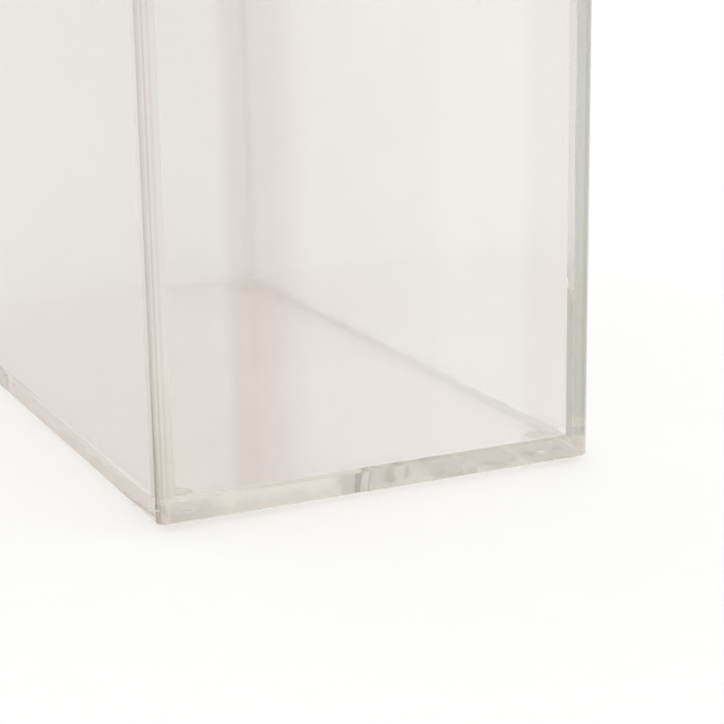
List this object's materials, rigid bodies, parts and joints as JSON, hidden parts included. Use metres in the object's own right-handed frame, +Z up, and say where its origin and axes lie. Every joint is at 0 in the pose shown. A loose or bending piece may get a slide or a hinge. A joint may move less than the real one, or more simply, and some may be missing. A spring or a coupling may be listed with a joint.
{
  "type": "sneeze guard",
  "caption": "Box-form counter sneeze guard of bonded clear acrylic sheet, with a thick flush base, rounded upright corners, clear bumper feet and a lift-off lid that locates between the walls.",
  "frame": {"origin": "middle of the footprint, at the underside of the feet on the counter", "axes": "+Z up, -Y the front face that the picture shows, +X to the right seen from the front"},
  "size_m": [0.2, 0.385, 0.2365],
  "materials": {
    "clear_acrylic": "clear cast acrylic sheet, glossy, with polished edges",
    "clear_cement": "cured clear acrylic cement with small trapped bubbles",
    "clear_bumper": "soft clear polyurethane, satin",
    "adhesive_film": "thin clear adhesive film"
  },
  "bodies": {
    "case": {"base_plate": "clear_acrylic", "front_wall": "clear_acrylic", "right_wall": "clear_acrylic", "rear_wall": "clear_acrylic", "left_wall": "clear_acrylic", "front_base_bond": "clear_cement", "right_base_bond": "clear_cement", "rear_base_bond": "clear_cement", "left_base_bond": "clear_cement", "front_right_bond": "clear_cement", "rear_right_bond": "clear_cement", "rear_left_bond": "clear_cement", "front_left_bond": "clear_cement", "foot_front_left": "clear_bumper", "foot_front_right": "clear_bumper", "foot_rear_right": "clear_bumper", "foot_rear_left": "clear_bumper", "foot_adhesive_discs": "adhesive_film"},
    "lid": {"lid_plate": "clear_acrylic", "lid_bond": "clear_cement", "lid_locating_plate": "clear_acrylic"}
  },
  "joints": [
    {"name": "lid_lift", "type": "slide", "parent": "case", "child": "lid", "axis": [0, 0, 1], "range_m": [0, 0.12]}
  ]
}
